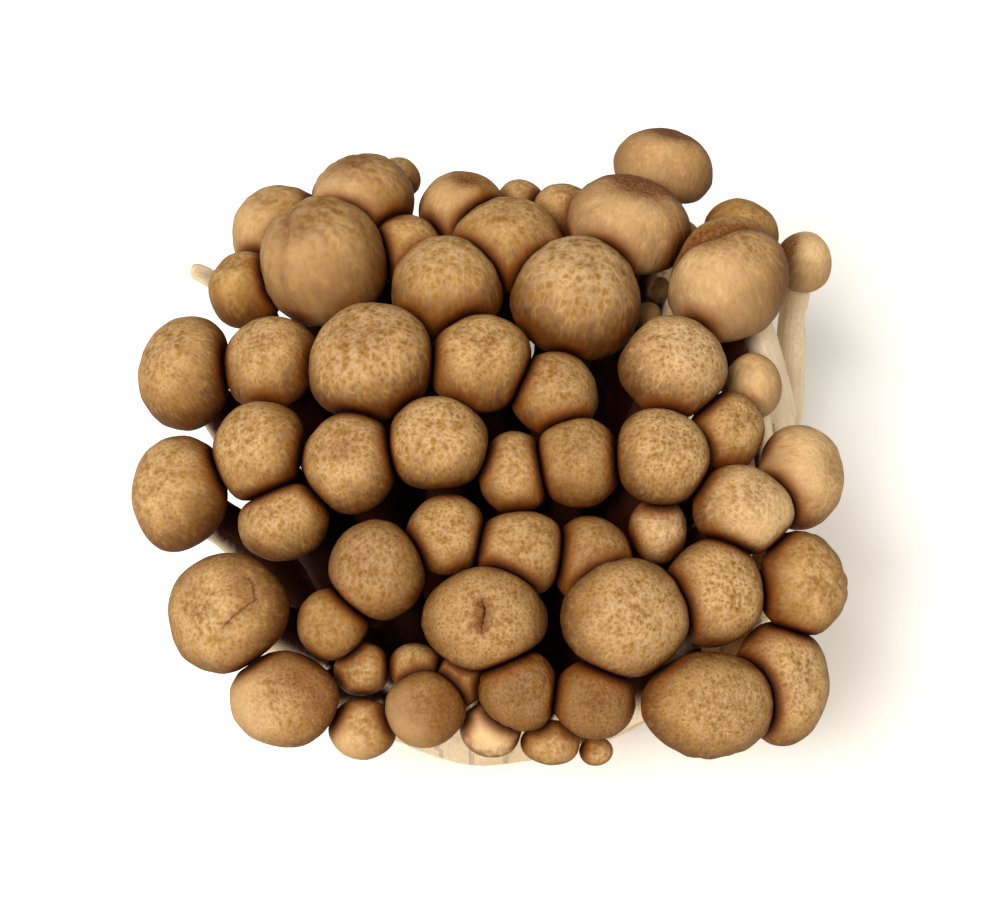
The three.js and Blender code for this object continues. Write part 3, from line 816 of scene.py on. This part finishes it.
def gill_disc(cap):
    """Turned in four steps to a gill, two on its edge and two in the fold beside it."""
    gills = 2 * round(math.tau * GILL_OUTER * cap.radius / GILL_SPACING / 2)
    steps = 4 * gills
    roof = GILL_ROOF * cap.dome - GILL_GAP / 2
    hub = stem_radius(cap) * GILL_HUB / cap.radius
    radii = np.linspace(hub, GILL_OUTER, GILL_RINGS)
    edges = -cap.rim * np.linspace(GILL_LOW, GILL_LIP, GILL_RINGS)
    profile = [(0, edges[0]), *zip(radii, edges), (GILL_OUTER * GILL_ROOF_REACH, roof), (0, roof)]
    form, where = spun(profile, steps)
    radius, height = np.array(profile).T[:, :, None]
    step = np.arange(steps)[None, :]
    in_fold = (step % 4 >= 2).astype(float)
    short = (step // 4 % 2) * (1 - np.clip((radius - hub) / SHORT_GILL_END, 0, 1))
    blade = (np.arange(len(profile)) >= 1) & (np.arange(len(profile)) <= GILL_RINGS)
    fold = np.maximum(in_fold, short) * blade[:, None]
    depth = fold * (roof - height - GILL_ROOF_GAP)
    turn = math.tau * (step + np.where(step % 2, -GILL_THINNING, GILL_THINNING)) / steps
    local = np.stack((radius * np.cos(turn) * cap.half[0], radius * np.sin(turn) * cap.half[1],
                      height + depth), axis=-1)
    points = flattened(cap.placed(local), cap, cap.planes)
    lip_steps = np.arange(steps) / steps * len(cap.lip_shift)
    lip = cap.lip_shift[lip_steps.astype(int) % len(cap.lip_shift)]
    points += lip * ((radius / GILL_OUTER) ** 2 * LIP_SHIFT_SHARE)[..., None]
    return form, where, points, fold


def gill_flesh():
    flesh = Finish("gill_flesh", roughness=0.65, specular=0.25)
    _, shade_paint, _, _ = flesh.marks("gill_state")
    place = flesh.node("TexCoord", {}, {}, out=3)
    mottle = flesh.cloud(place, GILL_MOTTLE_SCALE)
    # Painted shade in the folds between the gills.
    layers = [(mottle * 0.25, GILL_SHADE), (shade_paint * 0.7, GILL_FOLD_SHADE)]
    flesh.colour(flesh.layered(paint(GILL_CREAM), layers))
    flesh.relief(mottle, GILL_RELIEF)
    return flesh.material


gill_material = gill_flesh()
flesh_pieces = []
for side in MUSHROOMS:
    bunch = bmesh.new()
    bunch.verts.layers.float_vector.new("gill_state")
    for cap in mushrooms:
        if not cap.name.startswith(f"cap_{side}_"):
            continue
        form, where, points, fold = gill_disc(cap)
        set_places(form, where, points)
        state = form.verts.layers.float_vector.new("gill_state")
        form.verts.ensure_lookup_table()
        for index, shade_paint in zip(where.ravel(), fold.ravel()):
            form.verts[index][state] = (shade_paint, 0, 0)
        pour(form, bunch)
    mesh = bpy.data.meshes.new(f"gills_{side}")
    bunch.to_mesh(mesh)
    bunch.free()
    flesh_pieces.append(finished(f"gills_{side}", mesh, gill_material))
    flesh_pieces[-1].data.polygons.foreach_set("use_smooth", [False] * len(mesh.polygons))


# Stems and base. Ivory, faintly fibrous stems rise at a slant from the root, swell towards it, and fuse
# with each other and with one fleshy base, which was cut flat. Those deep inside the cluster take painted
# shade. They are grown together by a remesh.
STEM_SWELL = 1.55
STEM_STOP = 0.25
STEM_SIDES = 16
STEM_CUTS = 26
ROOT_SPREAD = (0.66, 0.5)
ROOT_LIMIT = 0.84
ROOT_HEIGHT = 5
ROOT_SLANT = 0.22
ROOT_RISE = 0.35
STRAIGHT_TOP = 0.42

# A stem without a grown cap: its tip, its radius there, its knee as shares of the tip's place, and the
# radius of the young knob on it. The first of them lost its cap.
CAPLESS_STEMS = [
    ((-46, 32, 49.7), 1.6, (0.68, 0.95, 0.88), 0),
    ((21.5, 22, 52), 1.6, (0.95, 0.95, 0.6), 2.3),
    ((28, 41, 46), 2, (0.95, 0.95, 0.6), 2.5),
    ((24, 32, 45), 1.5, (0.95, 0.95, 0.6), 2),
    ((37, -13, 43.5), 1.5, (0.95, 0.95, 0.6), 2),
    ((34, -24, 37), 1.8, (0.95, 0.95, 0.6), 3),
    ((30.5, -22.5, 35), 1.6, (0.95, 0.95, 0.6), 2.6),
]
CAPLESS_SWELL = 1.4
KNOB_PROFILE = [(0, -0.9), (0.55, -0.78), (0.88, -0.5), (1, -0.15), (0.97, 0.2), (0.82, 0.58), (0.5, 0.87),
                (0.2, 0.98), (0, 1)]
BASE_HALF = (33, 26.5)
BASE_STEPS = 64
BASE_PROFILE = [(0, 0), (0.9, 0), (0.97, 1.2), (1, 3), (1, 6), (0.98, 9), (0.93, 11.6), (0.84, 14),
                (0.69, 16.3), (0.5, 18), (0.26, 19.4), (0, 20)]
FURROWS = 3.2
FURROW_STRETCH = 0.03
FURROW_FIELD = 4.0
FURROW_SHARE = 0.05
FURROW_RISE = 2
FLESH_CELL = 0.86
FLESH_SMOOTHING = 5
FLAT_FOOT = 0.7
ROUTE_POINTS = 50
YOUNG_REACH = 1.15
YOUNG_FADE = 0.8
DEPTH_HALF = (30, 25)
DEPTH_SPREAD = (0.28, 0.4)
DEPTH_SHIFT = 0.05
DEPTH_MIDDLE = -4
DEPTH_START = 1.06
DEPTH_FADE = 0.16
DEPTH_FACING = 0.2
DEPTH_LOW = 7
DEPTH_RISE = 9
STRAND_SHIFT = 7
STRAND_LENGTH = 5
FIBRES_TO_MM = 1.3
FIBRE_DEPTH = 0.1
LUMP_WAVE = 6
LUMP_DEPTH = 0.35
LUMP_RISE = 3
TOP_RELIEF = 0.3
TOP_EASE = 4
FIBRE_STRETCH = (2.2, 2.2, 0.5)
FIBRE_SCALE = 1.6
FLESH_PATCH_SCALE = 130.0
FLESH_GRAIN_SCALE = 1400.0
STEM_RELIEF = 0.0003
IVORY = "ECD8BA"
IVORY_SHADE = "CBAC86"
FOOT_BUFF = "D8BE92"
CUT_BUFF = "CDB083"
CAP_END_BUFF = "C9A878"
YOUNG_TAN = "A97F4B"
PAINTED_SHADE_BROWN = "381508"


def root_of(x, y):
    root = np.array((x * ROOT_SPREAD[0], y * ROOT_SPREAD[1], 0))
    share = math.hypot(root[0] / BASE_HALF[0], root[1] / BASE_HALF[1])
    root *= min(1, ROOT_LIMIT / share)
    return root + np.array((0, 0, ROOT_HEIGHT))


def stem_route(cap):
    """The four control points of a stem's curve, from its root to its top."""
    top = cap.middle + cap.up * (GILL_ROOF * cap.dome - GILL_GAP - STEM_STOP)
    root = root_of(cap.middle[0], cap.middle[1])
    length = np.linalg.norm(top - root)
    slant = np.array((root[0] * ROOT_SLANT + cap.bow, root[1] * ROOT_SLANT, ROOT_RISE * length))
    return root, root + slant, top - cap.up * (STRAIGHT_TOP * length), top


def on_route(route, shares):
    """Points of a Bezier curve of any degree, and its direction there, for an array of shares."""
    layer = [np.asarray(point, float)[None, :] * np.ones((len(shares), 1)) for point in route]
    share = shares[:, None]
    while len(layer) > 2:
        layer = [a + (b - a) * share for a, b in zip(layer, layer[1:])]
    way = layer[1] - layer[0]
    return layer[0] + way * share, way / np.linalg.norm(way, axis=1, keepdims=True)


def add_post(body, route, root_radius, top_radius):
    """A tapered round post in the body, turned upright and then bent along its route."""
    heights = np.linspace(0, 1, STEM_CUTS)
    profile = [(0, 0), *((1, height) for height in heights), (0, 1)]
    form, where = spun(profile, STEM_SIDES)
    radius, share = np.array(profile).T[:, :, None]
    turn = np.linspace(0, math.tau, STEM_SIDES, endpoint=False)[None, :]
    middle, way = on_route(route, share[:, 0])
    side = np.cross((0, 1, 0), way)
    side /= np.linalg.norm(side, axis=1, keepdims=True)
    other = np.cross(way, side)
    reach = (radius * (root_radius + (top_radius - root_radius) * share))[..., None]
    ring = side[:, None] * np.cos(turn)[..., None] + other[:, None] * np.sin(turn)[..., None]
    set_places(form, where, middle[:, None] + ring * reach)
    pour(form, body)


def add_knob(body, route, knob):
    """A rounded knob in the body at the end of a route."""
    form, where = spun(KNOB_PROFILE, STEM_SIDES)
    radius, height = np.array(KNOB_PROFILE).T[:, :, None] * knob
    turn = np.linspace(0, math.tau, STEM_SIDES, endpoint=False)[None, :]
    tip, way = on_route(route, np.array((1.0,)))
    side = unit(np.cross((0, 1, 0), way[0]))
    out = np.cross(way[0], side)
    local = np.stack((radius * np.cos(turn), radius * np.sin(turn), height + 0 * turn), axis=-1)
    set_places(form, where, tip[0] + local @ np.array((side, out, way[0])))
    pour(form, body)


flesh_body = bmesh.new()
routes = [stem_route(cap) for cap in mushrooms]
for cap, route in zip(mushrooms, routes):
    add_post(flesh_body, route, stem_radius(cap) * STEM_SWELL, stem_radius(cap))
knobs = []
for tip, radius, bend, knob in CAPLESS_STEMS:
    tip = np.array(tip)
    route = (root_of(tip[0], tip[1]), tip * bend, tip)
    routes.append(route)
    add_post(flesh_body, route, radius * CAPLESS_SWELL, radius)
    if knob:
        add_knob(flesh_body, route, knob)
        knobs.append((tip, knob))

base_form, _ = spun(BASE_PROFILE, BASE_STEPS)
for vert in base_form.verts:
    x, y, z = vert.co
    field = (math.atan2(y, x) * FURROWS, z * FURROW_STRETCH, FURROW_FIELD)
    furrow = noise.noise(field) * FURROW_SHARE * min(1, z / FURROW_RISE)
    vert.co = (x * BASE_HALF[0] * (1 + furrow) * MM, y * BASE_HALF[1] * (1 + furrow) * MM, z * MM)
pour(base_form, flesh_body)

rough_flesh = bpy.data.meshes.new("rough_flesh")
flesh_body.to_mesh(rough_flesh)
flesh_body.free()
growing = bpy.data.objects.new("growing", rough_flesh)
bpy.context.scene.collection.objects.link(growing)
remesh = growing.modifiers.new("together", "REMESH")
remesh.mode = "VOXEL"
remesh.voxel_size = FLESH_CELL * MM
grown_mesh = bpy.data.meshes.new_from_object(growing.evaluated_get(bpy.context.evaluated_depsgraph_get()))
bpy.data.objects.remove(growing)


def specks_of(form):
    """The vertices of the specks that a remesh leaves beside the form's largest connected part."""
    unseen = set(form.verts)
    parts = []
    while unseen:
        part = [unseen.pop()]
        for vert in part:
            for edge in vert.link_edges:
                other = edge.other_vert(vert)
                if other in unseen:
                    unseen.remove(other)
                    part.append(other)
        parts.append(part)
    parts.sort(key=len)
    return [vert for part in parts[:-1] for vert in part]


flesh = bmesh.new()
flesh.from_mesh(grown_mesh)
bmesh.ops.delete(flesh, geom=specks_of(flesh), context="VERTS")
for _ in range(FLESH_SMOOTHING):
    bmesh.ops.smooth_vert(flesh, verts=flesh.verts, factor=0.5, use_axis_x=True, use_axis_y=True,
                          use_axis_z=True)

lines = [on_route(route, np.linspace(0, 1, ROUTE_POINTS))[0] for route in routes]
search = KDTree(len(lines) * ROUTE_POINTS)
for number, line in enumerate(lines):
    for place, point in enumerate(line):
        search.insert(point, number * ROUTE_POINTS + place)
search.balance()


def painted_shade_inside(place, facing):
    """How much painted shade a stem takes: 0 on the outer stems, and 1 on those deep inside the cluster, past
    the reach of the light.
    """
    across = (place[0] - DEPTH_MIDDLE) / (DEPTH_HALF[0] + DEPTH_SPREAD[0] * place[2])
    along = (place[1] - DEPTH_SHIFT * place[2]) / (DEPTH_HALF[1] + DEPTH_SPREAD[1] * place[2])
    share = math.hypot(across, along)
    outward = (facing[0] * across + facing[1] * along) / (share + TINY)
    inward = (DEPTH_START - share - DEPTH_FACING * outward) / DEPTH_FADE
    return min(1, max(0, inward)) * min(1, max(0, (place[2] - DEPTH_LOW) / DEPTH_RISE))


flesh.normal_update()
fibre_place = flesh.verts.layers.float_vector.new("fibre_place")
flesh_state = flesh.verts.layers.float_vector.new("flesh_state")
for vert in flesh.verts:
    place = np.array(vert.co) / MM
    _, found, _ = search.find(place)
    number, share = divmod(found, ROUTE_POINTS)
    beside = place - lines[number][share]
    along = share / ROUTE_POINTS
    on_knob = max(YOUNG_REACH * knob - np.linalg.norm(place - tip) for tip, knob in knobs)
    young = min(1, max(0, on_knob / YOUNG_FADE))
    strands = (beside[0] + number * STRAND_SHIFT, beside[1], along * STRAND_LENGTH)
    vert[fibre_place] = strands
    shade_paint = painted_shade_inside(place, vert.normal) * (1 - young)
    vert[flesh_state] = (along + young, 1 if place[2] < FLAT_FOOT else 0, shade_paint)
    if place[2] < FLAT_FOOT:
        vert.co.z = 0
        continue
    fibre = noise.noise((strands[0] * FIBRES_TO_MM, strands[1] * FIBRES_TO_MM, strands[2])) * FIBRE_DEPTH
    lump = noise.noise(place / LUMP_WAVE) * LUMP_DEPTH * min(1, place[2] / LUMP_RISE)
    vert.co += vert.normal * (fibre + lump) * MM * min(1, TOP_EASE * (1 - along) + TOP_RELIEF)
flesh.to_mesh(grown_mesh)
flesh.free()


def stem_flesh():
    flesh = Finish("stem_flesh", roughness=0.65, specular=0.1, subsurface=0.1)
    strands = flesh.marks("fibre_place")[0]
    _, along, cut, depth = flesh.marks("flesh_state")
    place = flesh.node("TexCoord", {}, {}, out=3)
    stretched = flesh.node("VectorMath", {"operation": "MULTIPLY"}, {0: strands, 1: FIBRE_STRETCH})
    fibres = flesh.cloud(stretched, FIBRE_SCALE, 4.0)
    patch = flesh.cloud(place, FLESH_PATCH_SCALE)
    grain = flesh.cloud(place, FLESH_GRAIN_SCALE, 3.0)
    flesh.colour(flesh.layered(paint(IVORY), [
        (flesh.step(fibres, 0.4, 0.72) * 0.5, IVORY_SHADE),
        (flesh.step(patch, 0.45, 0.75) * 0.35, IVORY_SHADE),
        ((1 - flesh.step(along, 0.0, 0.3)) * 0.45 * patch, FOOT_BUFF),
        (flesh.step(along, 0.82, 1.0) * 0.4, CAP_END_BUFF),
        (flesh.step(along, 1.05, 1.6), YOUNG_TAN),
        (cut * (0.4 + grain * 0.5), CUT_BUFF),
        # Painted shade on the stems deep inside the cluster.
        (depth, PAINTED_SHADE_BROWN),
    ]))
    flesh.rough(0.5 + fibres * 0.2 + depth * 0.3)
    flesh.relief(fibres * 0.8 + grain * 0.2, STEM_RELIEF)
    return flesh.material


grown_mesh.materials.clear()
flesh_pieces.append(finished("stems_and_base", grown_mesh, stem_flesh()))
for piece in flesh_pieces:
    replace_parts(piece, "base_stems_and_gills")


# Studio. A plain pale floor, one large soft light from the front left with a weaker one opposite, and
# a camera that looks down on the caps.
FLOOR_SIZE = 12.0
FLOOR_WHITE = (0.95, 0.94, 0.92, 1.0)
FLOOR_GLOW = 0.22
CAMERA_TARGET = (0, 0, 0.050)
CAMERA_DISTANCE = 0.340
CAMERA_ELEVATION = math.radians(58)
FOCAL_SHARE = 2.414
SENSOR_WIDTH = 36
NEAREST_SEEN = 0.01
KEY_WARMTH = (1, 0.97, 0.92)
FILL_WARMTH = (1, 0.93, 0.82)
ROOM_COLOUR = (1, 0.88, 0.72, 1)
ROOM_LIGHT = 0.17


def look_from(thing, target, azimuth, elevation, distance):
    """Places a light or camera round the target, azimuth 0 in front, and turns it to the target."""
    way = np.array((math.sin(azimuth) * math.cos(elevation), -math.cos(azimuth) * math.cos(elevation),
                    math.sin(elevation)))
    thing.location = np.array(target) + way * distance
    thing.rotation_euler = (math.pi / 2 - elevation, 0, azimuth)


def add_light(name, azimuth, elevation, distance, size, power, colour):
    lamp = bpy.data.lights.new(name, "AREA")
    lamp.size = size
    lamp.energy = power
    lamp.color = colour
    light = bpy.data.objects.new(name, lamp)
    bpy.context.scene.collection.objects.link(light)
    look_from(light, CAMERA_TARGET, math.radians(azimuth), math.radians(elevation), distance)


floor_form = bmesh.new()
bmesh.ops.create_grid(floor_form, x_segments=1, y_segments=1, size=FLOOR_SIZE / 2)
floor_mesh = bpy.data.meshes.new("floor")
floor_form.to_mesh(floor_mesh)
floor_form.free()
floor_finish = Finish("floor_white", roughness=0.9, specular=0.1)
floor_finish.colour(FLOOR_WHITE)
floor_finish.shader.inputs["Emission Color"].default_value = FLOOR_WHITE
floor_finish.shader.inputs["Emission Strength"].default_value = FLOOR_GLOW
floor_mesh.materials.append(floor_finish.material)
floor = bpy.data.objects.new("floor", floor_mesh)
bpy.context.scene.collection.objects.link(floor)

add_light("key", azimuth=-38, elevation=60, distance=0.9, size=0.4, power=11.0, colour=KEY_WARMTH)
add_light("fill", azimuth=55, elevation=55, distance=1.1, size=0.8, power=3.4, colour=FILL_WARMTH)

world = bpy.data.worlds.new("studio")
bpy.context.scene.world = world
world.use_nodes = True
world.node_tree.nodes["Background"].inputs["Color"].default_value = ROOM_COLOUR
world.node_tree.nodes["Background"].inputs["Strength"].default_value = ROOM_LIGHT

camera = bpy.data.objects.new("camera", bpy.data.cameras.new("camera"))
camera.data.sensor_width = SENSOR_WIDTH
camera.data.lens = FOCAL_SHARE * SENSOR_WIDTH
camera.data.clip_start = NEAREST_SEEN
bpy.context.scene.collection.objects.link(camera)
look_from(camera, CAMERA_TARGET, 0, CAMERA_ELEVATION, CAMERA_DISTANCE)
bpy.context.scene.camera = camera
bpy.context.scene.view_settings.view_transform = "Standard"
